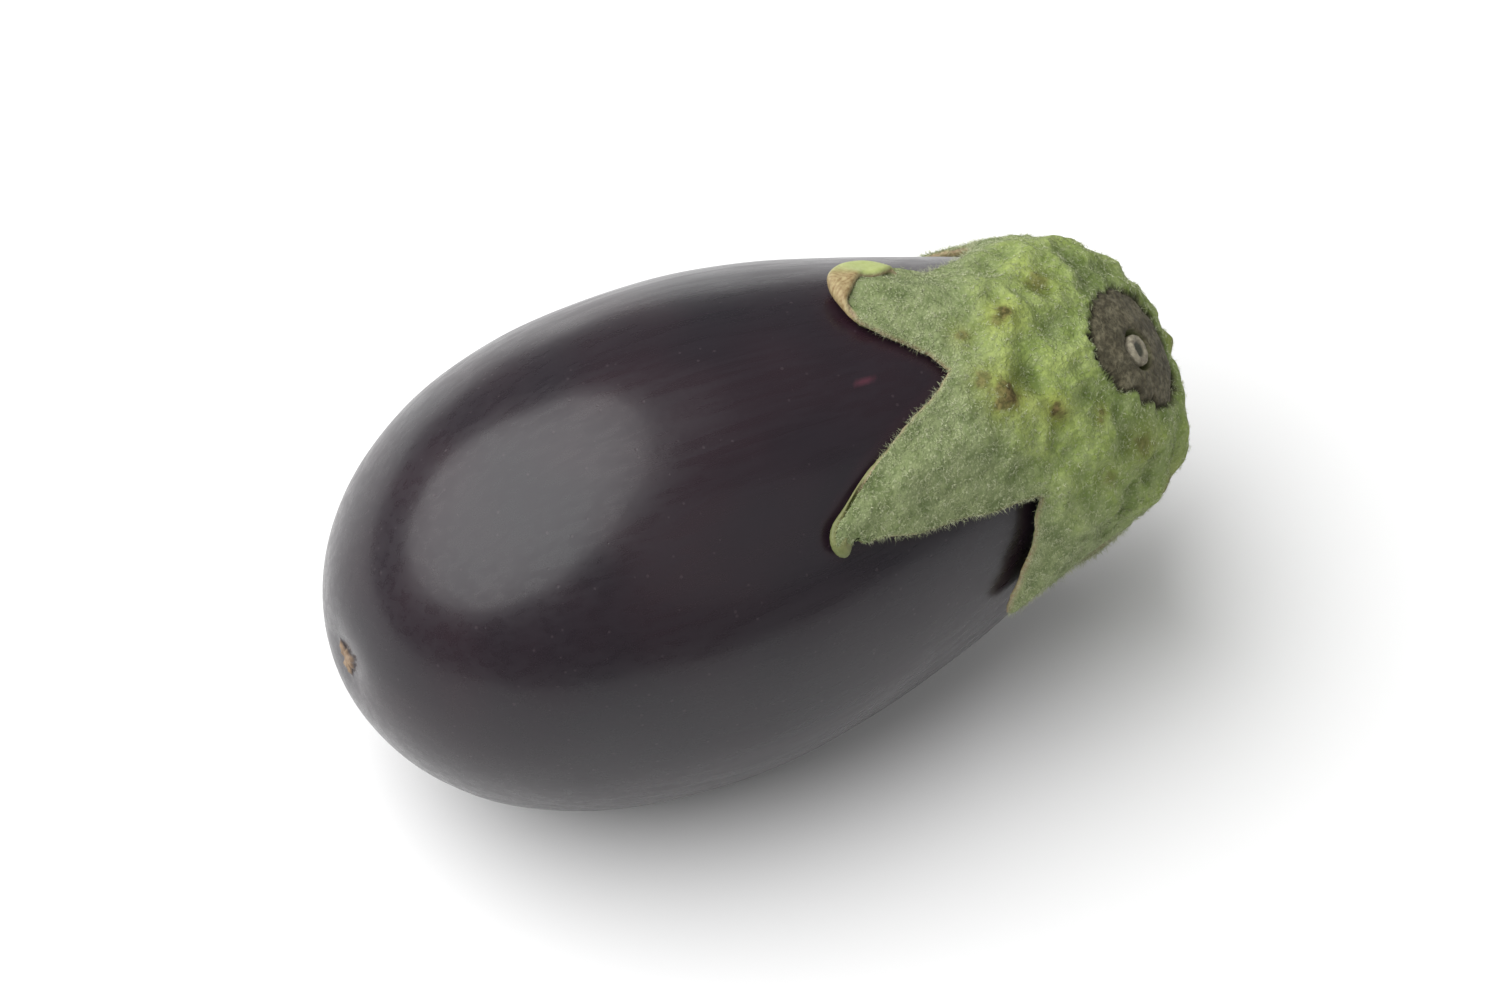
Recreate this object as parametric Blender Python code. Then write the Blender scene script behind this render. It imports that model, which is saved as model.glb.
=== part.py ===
"""A small aubergine lying on its side: the fruit, its fused calyx and the cut stub of its stalk.

Metres, +Z up. +X runs from the blossom end towards the stalk, and the fruit rests on a small flat spot
at Z = 0. The origin is under the middle of the whole thing.
"""

import math

import bmesh
import bpy
from mathutils import Matrix, Vector

# ---------------------------------------------------------------- driving dimensions
FRUIT_LENGTH = 0.0558  # along X, from the blossom end to the shoulder under the calyx
FRUIT_RADIUS = 0.0163  # half the girth, before the egg skew
EGG_SKEW = 0.17  # how much fatter the blossom half is than the stalk half
SHOULDER = 0.5  # how squarely the stalk end rounds off
SHOULDER_POWER = 8  # how close to the stalk end the shoulder stays
STEM_RISE = 0.0090  # how far the bent middle line has moved aside at the stalk end
BEND_ROLL = math.radians(30)  # the bend leans this far from straight up, towards -Y
START_SLOPE = math.radians(-3.5)  # slope of the middle line at the blossom end; the bend then lifts it
FLAT_DEPTH = 0.0007  # how much the resting spot is pressed in

CAP_TURN = math.radians(15)  # the calyx sits this far off the fruit's end, towards the upper side
SKIN_GAP = 0.0003  # clear space between neighbouring pieces
CAP_THICKNESS = 0.0017  # fleshy middle of the calyx
CAP_EDGE = 0.0006  # thickness left at the very edge of a lobe
CAP_HOLE = math.radians(4.6)  # opening that the stalk passes through, as an angle on the fruit's end
LIFT_START = 0.55  # share of a lobe's reach where it begins to curl off the skin

STUB_RADIUS = 0.00095
STUB_PROUD = 0.0004  # how far the cut end stands above the calyx
STUB_CUT_TILT = math.radians(12)  # the knife's slant across the stalk

# Each notch between two lobes: its turn around the cap and its reach from the middle, in degrees.
NOTCHES = [(-79, 41), (-16, 40.5), (47, 36), (104, 38), (165, 37), (227, 39)]
# Each lobe follows the notch of the same number: turn, reach, bluntness of the tip, lift of the tip.
LOBES = [
    (-51, 59, 1.8, 0.0010),
    (20, 71.5, 0.86, 0.0016),
    (76, 57, 1.0, 0.0006),
    (134, 62, 0.95, 0.0010),
    (196, 55, 1.3, 0.0007),
    (257, 66, 0.9, 0.0013),
]

SEGMENTS_ROUND = 48
SEGMENTS_LONG = 32
STEPS_PER_SIDE = 7  # samples from a notch to a tip
CAP_RINGS = 9
STUB_SEGMENTS = 20

# ---------------------------------------------------------------- the fruit's skin as a formula
BEND_UP = Vector((0, -math.sin(BEND_ROLL), math.cos(BEND_ROLL)))
BEND_SIDE = Vector((0, -math.cos(BEND_ROLL), -math.sin(BEND_ROLL)))
ALONG = Vector((1, 0, 0))
AT_REST = Matrix.Rotation(-START_SLOPE, 3, "Y")


def skin(direction):
    """The skin point that a unit direction lands on: x towards the stalk, y up the bend, z beside it."""
    share = (1 + direction.x) / 2
    slope = math.atan(3 * STEM_RISE / FRUIT_LENGTH * share**2)
    middle = ALONG * FRUIT_LENGTH * share + BEND_UP * STEM_RISE * share**3
    across = BEND_UP * math.cos(slope) - ALONG * math.sin(slope)
    shoulder = SHOULDER * direction.x**SHOULDER_POWER * (1 + direction.x) / 2
    radius = FRUIT_RADIUS * (1 - EGG_SKEW * direction.x + shoulder)
    return AT_REST @ (middle + across * radius * direction.y + BEND_SIDE * radius * direction.z)


def outward(direction):
    """The unit normal of the skin at a direction, from four neighbouring skin points."""
    nudge = 0.001
    helper = Vector((0, 1, 0)) if abs(direction.x) > 0.9 else Vector((1, 0, 0))
    first = direction.cross(helper).normalized() * nudge
    second = direction.cross(first).normalized() * nudge
    over = skin((direction + first).normalized()) - skin((direction - first).normalized())
    beside = skin((direction + second).normalized()) - skin((direction - second).normalized())
    return over.cross(beside).normalized()


CAP_MIDDLE = Vector((math.cos(CAP_TURN), math.sin(CAP_TURN), 0))
CAP_DOWN = Vector((-math.sin(CAP_TURN), math.cos(CAP_TURN), 0))
CAP_BESIDE = Vector((0, 0, 1))


def cap_direction(reach, turn):
    """The direction that lies reach away from the middle of the calyx, at a turn around it."""
    around = CAP_DOWN * math.cos(turn) + CAP_BESIDE * math.sin(turn)
    return CAP_MIDDLE * math.cos(reach) + around * math.sin(reach)


# ---------------------------------------------------------------- helpers
def material(name, colour, roughness):
    """A plain Principled material."""
    made = bpy.data.materials.new(name)
    made.use_nodes = True
    shader = made.node_tree.nodes["Principled BSDF"]
    shader.inputs["Base Color"].default_value = (*colour, 1)
    shader.inputs["Roughness"].default_value = roughness
    shader.inputs["Metallic"].default_value = 0
    return made


def finished(name, shape, look):
    """Turns a bmesh into a smooth-shaded object with its faces pointing out."""
    bmesh.ops.recalc_face_normals(shape, faces=shape.faces)
    mesh = bpy.data.meshes.new(name)
    shape.to_mesh(mesh)
    shape.free()
    mesh.shade_smooth()
    mesh.set_sharp_from_angle(angle=math.radians(50))
    mesh.materials.append(look)
    made = bpy.data.objects.new(name, mesh)
    bpy.context.scene.collection.objects.link(made)
    return made


# ---------------------------------------------------------------- the pieces
def fruit():
    """A ball whose points are moved onto the skin, with the resting spot sliced flat."""
    shape = bmesh.new()
    bmesh.ops.create_uvsphere(shape, u_segments=SEGMENTS_ROUND, v_segments=SEGMENTS_LONG, radius=1)
    poles_to_x = Matrix.Rotation(math.pi / 2, 3, "Y")
    for vertex in shape.verts:
        vertex.co = skin((poles_to_x @ vertex.co).normalized())
    rest_height = min(vertex.co.z for vertex in shape.verts) + FLAT_DEPTH
    everything = [*shape.verts, *shape.edges, *shape.faces]
    cut = bmesh.ops.bisect_plane(
        shape, geom=everything, plane_co=(0, 0, rest_height), plane_no=(0, 0, 1), clear_inner=True
    )
    rim = [item for item in cut["geom_cut"] if isinstance(item, bmesh.types.BMEdge)]
    bmesh.ops.contextual_create(shape, geom=rim)
    look = material("aubergine_skin", (0.012, 0.006, 0.012), 0.22)
    return finished("fruit", shape, look)


def lobe_samples():
    """(turn, reach, lift) all the way round the calyx, from notch to tip to notch."""
    samples = []
    for number, (tip_turn, tip_reach, bluntness, lift) in enumerate(LOBES):
        last = (number + 1) % len(NOTCHES)
        ends = [NOTCHES[number], (NOTCHES[last][0] + (360 if last == 0 else 0), NOTCHES[last][1])]
        for side, (notch_turn, notch_reach) in enumerate(ends):
            for step in range(STEPS_PER_SIDE):
                share = step / STEPS_PER_SIDE if side == 0 else 1 - step / STEPS_PER_SIDE
                rise = 1 - (1 - share) ** bluntness
                turn = notch_turn + (tip_turn - notch_turn) * share
                reach = notch_reach + (tip_reach - notch_reach) * rise
                samples.append((math.radians(turn), math.radians(reach), lift * rise))
    return samples


def cap_heights(share, lift):
    """Heights above the skin of the calyx's under and upper side, at a share of the way to its edge."""
    curl = max(0.0, (share - LIFT_START) / (1 - LIFT_START)) ** 2
    under = SKIN_GAP + lift * curl
    flesh = CAP_EDGE + (CAP_THICKNESS - CAP_EDGE) * math.sqrt(1 - share**4)
    return under, under + flesh


def cap_ring(shape, share, samples, upper):
    """One closed ring of points on the upper or the under side of the calyx."""
    ring = []
    for turn, reach, lift in samples:
        direction = cap_direction(CAP_HOLE + (reach - CAP_HOLE) * share, turn)
        height = cap_heights(share, lift)[1 if upper else 0]
        ring.append(shape.verts.new(skin(direction) + outward(direction) * height))
    return ring


def calyx():
    """The fused cap: an upper and an under surface that follow the skin, joined at edge and opening."""
    shape = bmesh.new()
    samples = lobe_samples()
    shares = [step / CAP_RINGS for step in range(CAP_RINGS + 1)]
    upper = [cap_ring(shape, share, samples, True) for share in shares]
    under = [cap_ring(shape, share, samples, False) for share in shares]
    loops = upper + under[::-1]
    for inner, outer in zip(loops, loops[1:] + loops[:1]):
        for here in range(len(samples)):
            after = (here + 1) % len(samples)
            shape.faces.new((inner[here], inner[after], outer[after], outer[here]))
    look = material("calyx_green", (0.26, 0.36, 0.12), 0.75)
    return finished("calyx", shape, look)


def stem_stub():
    """A short round stub through the opening of the calyx, cut a little aslant."""
    shape = bmesh.new()
    length = CAP_THICKNESS + STUB_PROUD
    bmesh.ops.create_cone(
        shape,
        cap_ends=True,
        segments=STUB_SEGMENTS,
        radius1=STUB_RADIUS,
        radius2=STUB_RADIUS,
        depth=length * 2,
        matrix=Matrix.Translation((0, 0, length)),
    )
    slant = Vector((math.sin(STUB_CUT_TILT), 0, math.cos(STUB_CUT_TILT)))
    everything = [*shape.verts, *shape.edges, *shape.faces]
    cut = bmesh.ops.bisect_plane(
        shape, geom=everything, plane_co=(0, 0, length), plane_no=slant, clear_outer=True
    )
    rim = [item for item in cut["geom_cut"] if isinstance(item, bmesh.types.BMEdge)]
    bmesh.ops.contextual_create(shape, geom=rim)
    normal = outward(CAP_MIDDLE)
    foot = skin(CAP_MIDDLE) + normal * SKIN_GAP
    stand = normal.to_track_quat("Z", "Y").to_matrix().to_4x4()
    bmesh.ops.transform(shape, matrix=Matrix.Translation(foot) @ stand, verts=shape.verts)
    look = material("cut_stalk", (0.42, 0.40, 0.28), 0.85)
    return finished("stem_stub", shape, look)


def centre_on_origin(pieces):
    """Moves all the pieces together so that the origin lies under the middle of their common box."""
    corners = [vertex.co for piece in pieces for vertex in piece.data.vertices]
    low = Vector([min(corner[axis] for corner in corners) for axis in range(3)])
    high = Vector([max(corner[axis] for corner in corners) for axis in range(3)])
    foot = Vector(((low.x + high.x) / 2, (low.y + high.y) / 2, low.z))
    for piece in pieces:
        piece.data.transform(Matrix.Translation(-foot))


for left_over in list(bpy.data.objects):
    bpy.data.objects.remove(left_over)
centre_on_origin([fruit(), calyx(), stem_stub()])
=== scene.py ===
# %% [markdown]
# # A small aubergine
#
# This lesson dresses a finished solid model of one small aubergine lying on its side. The solid model says
# how big everything is and where it sits. The lesson builds three finer pieces in its place: the glossy
# skin, the felted green cap and the cut stalk. Then it adds the wool on the cap, the light and the camera.

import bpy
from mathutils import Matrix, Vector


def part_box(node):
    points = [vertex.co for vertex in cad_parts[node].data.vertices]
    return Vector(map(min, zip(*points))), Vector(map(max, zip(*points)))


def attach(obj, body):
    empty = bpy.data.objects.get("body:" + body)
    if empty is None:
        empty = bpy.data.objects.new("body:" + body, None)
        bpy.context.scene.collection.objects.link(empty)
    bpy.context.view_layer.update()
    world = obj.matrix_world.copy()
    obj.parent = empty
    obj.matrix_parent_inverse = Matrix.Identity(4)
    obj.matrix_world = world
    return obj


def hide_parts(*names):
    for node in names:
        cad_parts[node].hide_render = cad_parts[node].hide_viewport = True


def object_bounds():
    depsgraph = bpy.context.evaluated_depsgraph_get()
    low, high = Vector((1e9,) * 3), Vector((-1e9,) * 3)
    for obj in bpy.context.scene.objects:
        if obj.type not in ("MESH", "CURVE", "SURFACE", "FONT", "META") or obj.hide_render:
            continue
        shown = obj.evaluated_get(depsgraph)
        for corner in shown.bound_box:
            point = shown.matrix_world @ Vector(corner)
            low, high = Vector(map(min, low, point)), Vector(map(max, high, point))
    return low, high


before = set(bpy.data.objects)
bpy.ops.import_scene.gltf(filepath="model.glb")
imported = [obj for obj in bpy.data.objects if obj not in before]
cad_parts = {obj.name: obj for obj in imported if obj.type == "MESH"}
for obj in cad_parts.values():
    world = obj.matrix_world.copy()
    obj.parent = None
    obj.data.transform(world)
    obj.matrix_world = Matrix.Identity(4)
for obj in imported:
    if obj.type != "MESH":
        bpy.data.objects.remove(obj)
solid_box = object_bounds()
print("solid model:", sorted(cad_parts), "box", solid_box)

# %% [markdown]
# ## Tools for points
#
# All the shapes are computed as rows of points with numpy and handed to Blender once, as a mesh. Sculpting
# by hand would do as well, but formulas give the same result on every run, and the same ones place the
# skin, the cap and the wool. The first tools make unit rows, soft ramps and soft noise.

# %% Tools for points
import math

import bpy
import numpy as np
from mathutils import Vector, kdtree, noise

MM = 0.001
SEED_STEP = (17.3, 5.1, 9.7)  # how far apart in the noise two seeds lie
rng = np.random.default_rng(7)


def unit(rows):
    """Each row scaled to length one."""
    return rows / np.linalg.norm(rows, axis=-1, keepdims=True)


def smooth_step(low, high, values):
    """0 below low, 1 above high, and a soft ramp between; the other way round when low is above high."""
    share = np.clip((values - low) / (high - low), 0, 1)
    return share * share * (3 - 2 * share)


def bell(values, width):
    """1 where the value is 0, falling softly to nearly nothing at twice the width."""
    return np.exp(-((values / width) ** 2))


def lumps(points, size, seed):
    """Soft noise from about -1 to 1 at each point, whose lumps are about size across."""
    offset = Vector([seed * step for step in SEED_STEP])
    return np.array([noise.noise(Vector(point) / size + offset) for point in points])


def smoothed(rows, times):
    """A closed run of rows, each averaged with its neighbours that many times."""
    for _ in range(times):
        rows = (np.roll(rows, 1, 0) + 2 * rows + np.roll(rows, -1, 0)) / 4
    return rows


def to_nearest(places, targets):
    """Distance from each place to its nearest target, and which target that is."""
    tree = kdtree.KDTree(len(targets))
    for number, target in enumerate(targets):
        tree.insert(target, number)
    tree.balance()
    found = [tree.find(place)[1:] for place in places]
    return np.array([distance for _, distance in found]), np.array([number for number, _ in found])


print("halfway up a soft ramp:", smooth_step(0, 1, 0.5), "and on a bell:", round(bell(0.5, 1), 2))

# %% [markdown]
# ## Tools for meshes
#
# Each surface is a row of rings of points joined by quads, which suits round things that are closed at a
# pole or an edge. The mesh also keeps named values at its points, such as how corky a place is. The
# materials read those as masks, so colour and shape always agree.

# %% Tools for meshes
def piece(name, points, faces, look, masks):
    """A smooth-shaded mesh object with one named value per vertex for each mask."""
    mesh = bpy.data.meshes.new(name)
    mesh.from_pydata(points.tolist(), [], faces)
    mesh.shade_smooth()
    for mask, values in masks.items():
        layer = mesh.attributes.new(mask, "FLOAT", "POINT")
        layer.data.foreach_set("value", np.asarray(values, np.float32))
    mesh.materials.append(look)
    mesh.validate()
    made = bpy.data.objects.new(name, mesh)
    bpy.context.scene.collection.objects.link(made)
    print(name, "has", len(mesh.vertices), "points and", len(mesh.polygons), "faces")
    return made


def add_rows(made, name, rows):
    """Keeps three numbers per point of a piece under this name."""
    layer = made.data.attributes.new(name, "FLOAT_VECTOR", "POINT")
    layer.data.foreach_set("vector", rows.astype(np.float32).ravel())


def ring_faces(rings, columns):
    """Quads between neighbouring rings of points, closed round."""
    made = []
    for ring in range(rings - 1):
        here = ring * columns
        for column in range(columns):
            after = (column + 1) % columns
            made.append((here + column, here + after, here + columns + after, here + columns + column))
    return made


def fan(tip, start, columns):
    """Triangles from the ring of points that begins at start to the point at its tip."""
    return [(tip, start + (column + 1) % columns, start + column) for column in range(columns)]


def flipped(faces):
    """The same faces, looking the other way."""
    return [face[::-1] for face in faces]


print("two rings of four points take", len(ring_faces(2, 4)), "quads")
print("a tip over four points takes", len(fan(8, 0, 4)), "triangles")

# %% [markdown]
# ## The shape of the berry
#
# An aubergine is an egg on a bent middle line, fatter towards the blossom end and rounded off squarely at
# the shoulder under the cap. A subdivided ball pushed about by hand could give that. Here a formula turns
# any direction on a ball into a point on the skin, so that the cap can be laid on it later. The numbers are
# the solid model's own driving sizes.

# %% The skin as a formula
FRUIT_LENGTH = 55.8 * MM
FRUIT_RADIUS = 16.3 * MM
EGG_SKEW = 0.17
SHOULDER = 0.5
SHOULDER_POWER = 8
STEM_RISE = 9.0 * MM
BEND_ROLL = math.radians(30)
START_SLOPE = math.radians(-3.5)
ALONG = np.array([1.0, 0.0, 0.0])
BEND_UP = np.array([0, -math.sin(BEND_ROLL), math.cos(BEND_ROLL)])
BEND_SIDE = np.array([0, -math.cos(BEND_ROLL), -math.sin(BEND_ROLL)])
TILT_COS = math.cos(-START_SLOPE)
TILT_SIN = math.sin(-START_SLOPE)
AT_REST = np.array([[TILT_COS, 0, TILT_SIN], [0, 1, 0], [-TILT_SIN, 0, TILT_COS]])
NUDGE = 0.001  # a small step on the ball, to feel which way the skin faces
shift = np.zeros(3)  # until the formula is landed on the solid


def skin(directions):
    """Skin points for rows of unit directions: x towards the stalk, y up the bend, z beside it."""
    x, y, z = directions.T
    share = (1 + x) / 2
    slope = np.arctan(3 * STEM_RISE / FRUIT_LENGTH * share**2)
    middle = np.outer(share * FRUIT_LENGTH, ALONG) + np.outer(STEM_RISE * share**3, BEND_UP)
    across = np.outer(np.cos(slope), BEND_UP) - np.outer(np.sin(slope), ALONG)
    radius = FRUIT_RADIUS * (1 - EGG_SKEW * x + SHOULDER * x**SHOULDER_POWER * share)
    points = middle + across * (radius * y)[:, None] + np.outer(radius * z, BEND_SIDE)
    return points @ AT_REST.T + shift


def outward(directions):
    """Unit normals of the skin, from four neighbouring points each."""
    helper = np.where(np.abs(directions[:, :1]) > 0.9, [[0, 1, 0]], [[1, 0, 0]])
    first = unit(np.cross(directions, helper)) * NUDGE
    second = unit(np.cross(directions, first)) * NUDGE
    over = skin(unit(directions + first)) - skin(unit(directions - first))
    beside = skin(unit(directions + second)) - skin(unit(directions - second))
    return unit(np.cross(over, beside))


def ball(polar_angles, columns):
    """Rings of unit directions at these angles from the blossom end."""
    turns = np.arange(columns) * 2 * math.pi / columns
    polar, turn = np.meshgrid(polar_angles, turns, indexing="ij")
    rows = np.stack([-np.cos(polar), np.sin(polar) * np.cos(turn), np.sin(polar) * np.sin(turn)], -1)
    return rows.reshape(-1, 3)


poles = skin(np.array([[-1.0, 0, 0], [1.0, 0, 0]]))
print("pole to pole the berry measures", round(float(np.linalg.norm(poles[1] - poles[0]) / MM), 1), "mm")

# %% [markdown]
# ## Landing on the solid
#
# The formula has its own zero point. The solid's box says where the berry really lies, so the formula is
# shifted until a coarse ball of its points has the same left end, middle and top as that box.

# %% Land the formula on the solid
COARSE_RINGS = 33
COARSE_COLUMNS = 48

fruit_low, fruit_high = (np.array(corner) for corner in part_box("fruit"))
coarse = skin(ball(np.linspace(0, math.pi, COARSE_RINGS), COARSE_COLUMNS))
shift = np.array([
    fruit_low[0] - coarse[:, 0].min(),
    (fruit_low[1] + fruit_high[1] - coarse[:, 1].min() - coarse[:, 1].max()) / 2,
    fruit_high[2] - coarse[:, 2].max(),
])
print("the formula moves by", np.round(shift / MM, 2), "mm to meet the solid")

# %% [markdown]
# ## The cap's plan
#
# The cap is a calyx: leafy lobes that are fused in the middle and lie on the shoulder of the berry. Its
# outline is easiest to draw on a flat plan around the stalk, where each point is a turn round the stalk and
# a reach away from it, both in degrees. Laid on the berry, the plan wraps itself round the shoulder. Three
# lobes are drawn from a real cap, and the three at the far side are made up in the same manner.

# %% Outline of the cap
# One row per lobe, from the notch before it, round its tip, up to the next notch: (turn, reach). A third
# number is how many mm of the margin are rolled in beyond that place.
LOBE_OUTLINES = [
    [(-79, 40), (-72, 41.2), (-65.5, 43), (-60.5, 45), (-57, 47.2), (-57.5, 49.3, 1.4), (-60, 51.5, 3.6),
     (-62, 54, 3.9), (-60.2, 56.8, 3.8), (-55.5, 58.2, 3.7), (-50, 57.6, 3.2), (-45.7, 56.5, 2.4),
     (-42.5, 55.5, 1.3), (-39.8, 54.7, 0.3), (-37.5, 54), (-33.3, 51.4), (-28.2, 47.2), (-24, 44),
     (-18.8, 41.6)],
    [(-16.8, 40.9), (-14, 42.2), (-9.3, 44.4), (-4.1, 49.7), (1.6, 55.4), (6, 60, 0.5), (10, 63.8, 1.2),
     (13.4, 67.2, 1.6), (15.7, 69.7, 2.2), (17.4, 71.2, 2.7), (19.2, 71.6, 2.7), (20.8, 70.6, 2.0),
     (21.5, 68.8, 0.6), (21.8, 67), (22.5, 63.6), (26.2, 59.4), (29, 55), (31.5, 49.8), (36.2, 45.6),
     (40, 40.6), (44.5, 37)],
    [(46.4, 36.2), (47.6, 38.4), (52.6, 41.1), (59.8, 44.2), (65.5, 48.9), (71.5, 52.9), (76.8, 56.6),
     (78.5, 54.5), (84, 50), (92, 45.5), (99, 41.5)],
    [(104, 38), (108, 40), (114, 45.5), (120, 51), (126, 56.5), (131, 60.5), (135, 62), (138.5, 60),
     (142, 54.5), (147, 48.5), (153, 42.5), (160, 38.5)],
    [(165, 37), (170, 39), (176, 43), (183, 47), (189, 50.5), (194, 53.5), (198, 54.6), (202, 53),
     (207, 49.5), (213, 45), (220, 41)],
    [(227, 39), (228.5, 41.5), (231, 46.5), (233.5, 51), (236, 55), (238.5, 58), (240.5, 58.6), (243, 56.5),
     (246.5, 52.5), (251, 47.5), (258, 43.5), (269, 41)],
]
COLUMNS = 560  # points round the outline
corner_lobes = np.concatenate([[number] * len(lobe) for number, lobe in enumerate(LOBE_OUTLINES)])
print("the outline has", len(corner_lobes), "corners in", len(LOBE_OUTLINES), "lobes")

# %% [markdown]
# ## From the plan to the berry
#
# Two small functions lead from the plan to the berry. The first lays turn and reach out as flat points,
# where straight lines can be drawn between them. The second turns flat points into directions on the ball,
# and the skin formula takes those to the berry.

# %% From the plan to the berry
CAP_TURN = math.radians(15)  # the cap sits this far off the berry's end
CAP_AXIS = np.array([math.cos(CAP_TURN), math.sin(CAP_TURN), 0])
CAP_DOWN = np.array([-math.sin(CAP_TURN), math.cos(CAP_TURN), 0])
CAP_BESIDE = np.array([0.0, 0.0, 1.0])


def plan(rows):
    """Flat plan points, in degrees, of (turn, reach) rows."""
    turn, reach = np.radians(np.asarray(rows, float)[:, 0]), np.asarray(rows, float)[:, 1]
    return np.stack([reach * np.cos(turn), reach * np.sin(turn)], -1)


def directions_of(flat):
    """Directions on the ball of flat plan points."""
    reach = np.radians(np.linalg.norm(flat, axis=-1))
    turn = np.arctan2(flat[:, 1], flat[:, 0])
    around = np.outer(np.cos(turn), CAP_DOWN) + np.outer(np.sin(turn), CAP_BESIDE)
    return CAP_AXIS * np.cos(reach)[:, None] + around * np.sin(reach)[:, None]


flat_tip = plan([(20, 70)])
print("a lobe that reaches 70 degrees ends at", np.round(skin(directions_of(flat_tip))[0] / MM, 1), "mm")

# %% [markdown]
# ## A natural edge
#
# Straight lines between the corners would look cut with scissors. So the outline is sampled at even steps,
# smoothed, and made a little ragged with noise, except where the margin is rolled in, because the roll
# stretches every unevenness.

# %% A natural edge
OUTLINE_PASSES = 6
ROLL_PASSES = 16
RAGGED_SHARE = 0.010  # of the reach
COARSE_TEETH = 3.0  # degrees
FINE_TEETH = 1.2

corners = plan([corner[:2] for lobe in LOBE_OUTLINES for corner in lobe])
rolls = np.array([corner[2] if len(corner) > 2 else 0 for lobe in LOBE_OUTLINES for corner in lobe]) * MM
closed = np.vstack([corners, corners[:1]])
walked = np.concatenate([[0], np.cumsum(np.linalg.norm(np.diff(closed, axis=0), axis=1))])
stations = np.arange(COLUMNS) * walked[-1] / COLUMNS
column_lobes = corner_lobes[np.searchsorted(walked, stations, side="right") - 1]
outline = np.stack([np.interp(stations, walked, closed[:, axis]) for axis in range(2)], -1)
outline = smoothed(outline, OUTLINE_PASSES)
roll_at = smoothed(np.interp(stations, walked, np.append(rolls, rolls[0])), ROLL_PASSES)
teeth_at = np.c_[outline, np.zeros(COLUMNS)]
raggedness = lumps(teeth_at, COARSE_TEETH, 1) + 0.6 * lumps(teeth_at, FINE_TEETH, 2)
outline *= 1 + RAGGED_SHARE * (raggedness * smooth_step(1.0 * MM, 0, roll_at))[:, None]
print("the widest rolled margin is", round(float(roll_at.max() / MM), 1), "mm")

# %% [markdown]
# ## Rolling and hooking a lobe
#
# The tips of the lobes aren't flat: one is rolled back on itself and shows its smooth inside, and the
# longest one has a rolled margin and ends in a hook. Both are the same move, a bend round a roller: what
# lies beyond a fold line is wound up round a small radius. Blender's Simple Deform could bend a whole
# piece, but each point of the margin needs a fold line of its own here.

# %% The bend round a roller
def wound(points, folds, away, up, radius, most):
    """Winds what lies beyond the folds, in the direction away, up round a roller by at most that angle."""
    away = np.broadcast_to(away, points.shape)
    up = np.broadcast_to(up, points.shape)
    offset = points - folds
    beyond = (offset * away).sum(1)
    height = (offset * up).sum(1)
    beside = offset - away * beyond[:, None] - up * height[:, None]
    angle = np.clip(beyond / radius, 0, most)
    straight = np.maximum(beyond - radius * most, 0)
    arm = radius - height
    forward = arm * np.sin(angle) + straight * np.cos(angle)
    rise = radius - arm * np.cos(angle) + straight * np.sin(angle)
    bent = folds + beside + away * forward[:, None] + up * rise[:, None]
    return np.where((beyond > 0)[:, None], bent, points)


def fold_frame(start, finish):
    """A fold on the berry through two (turn, reach) points: its middle, away to its left, and up."""
    ends = skin(directions_of(plan([start, finish])))
    middle = unit(directions_of(plan([start, finish])).sum(0)[None])
    up = outward(middle)[0]
    line = unit((ends[1] - ends[0])[None])[0]
    away = unit(np.cross(up, line)[None])[0]
    return skin(middle)[0], away, up


one_point = np.array([[math.pi * MM, 0, 0]])
half_turn = wound(one_point, np.zeros(3), ALONG, np.array([0, 0, 1.0]), 1 * MM, math.pi)
print("half a turn round a 1 mm roller ends", round(float(half_turn[0, 2] / MM), 2), "mm up")

# %% [markdown]
# ## Laying out the cap
#
# The cap is a stack of rings from the stalk out to the ragged edge, once for the felted upper side and once
# for the smooth inside. Where the margin is rolled in, the outer rings stop at the fold, and how far each
# lies beyond it is kept apart, to be wound up later. A plane cut to the outline would have no such rows to
# bend, and its edge would be as thin as paper.

# %% Rings of the cap
HOLE = 3.8  # degrees of reach where the cap meets the stalk
UPPER_RINGS = 88
UNDER_RINGS = 48
UPPER_CROWDING = 0.85  # below 1, the rings crowd towards the edge
UNDER_CROWDING = 0.6
ROLLED_RINGS = 0.32  # share of the rings that the widest rolled margin takes up
TINY = 1e-9

upper_shares = np.linspace(0, 1, UPPER_RINGS) ** UPPER_CROWDING
under_shares = np.linspace(0, 1, UNDER_RINGS + 1)[:-1] ** UNDER_CROWDING
shares = np.concatenate([upper_shares, under_shares[::-1]])
rings = len(shares)
fold_share = 1 - ROLLED_RINGS * roll_at / roll_at.max()
plan_share = np.minimum(shares[:, None] / fold_share, 1)
hole_ring = unit(outline) * HOLE
flat = (hole_ring[None] + (outline - hole_ring)[None] * plan_share[:, :, None]).reshape(-1, 2)
beyond_fold = np.clip((shares[:, None] - fold_share) / (1 - fold_share + TINY), 0, 1)
rolled_in = (beyond_fold * roll_at).ravel()
print("the cap has", rings, "rings of", COLUMNS, "points")

# %% [markdown]
# ## Where each point of the cap is
#
# Each point learns its lobe, its side, its turn and reach, and how far it is from the edge and from the
# fold of a rolled margin. These few numbers shape the thickness, ribs and lumps, and later colour the cap.

# %% Where each point of the cap is
EDGE_PASSES = 70  # smooths the ways out of the cap, so that a roll doesn't bunch up

share_of = np.repeat(shares, COLUMNS)
lobe_of = np.tile(column_lobes, rings)
is_upper = np.repeat(np.arange(rings) < UPPER_RINGS, COLUMNS)
every_ring = np.tile(np.arange(COLUMNS), rings)
reach_of = np.linalg.norm(flat, axis=1)
turn_of = np.degrees(np.arctan2(flat[:, 1], flat[:, 0]))
laid = skin(directions_of(flat))

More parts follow.
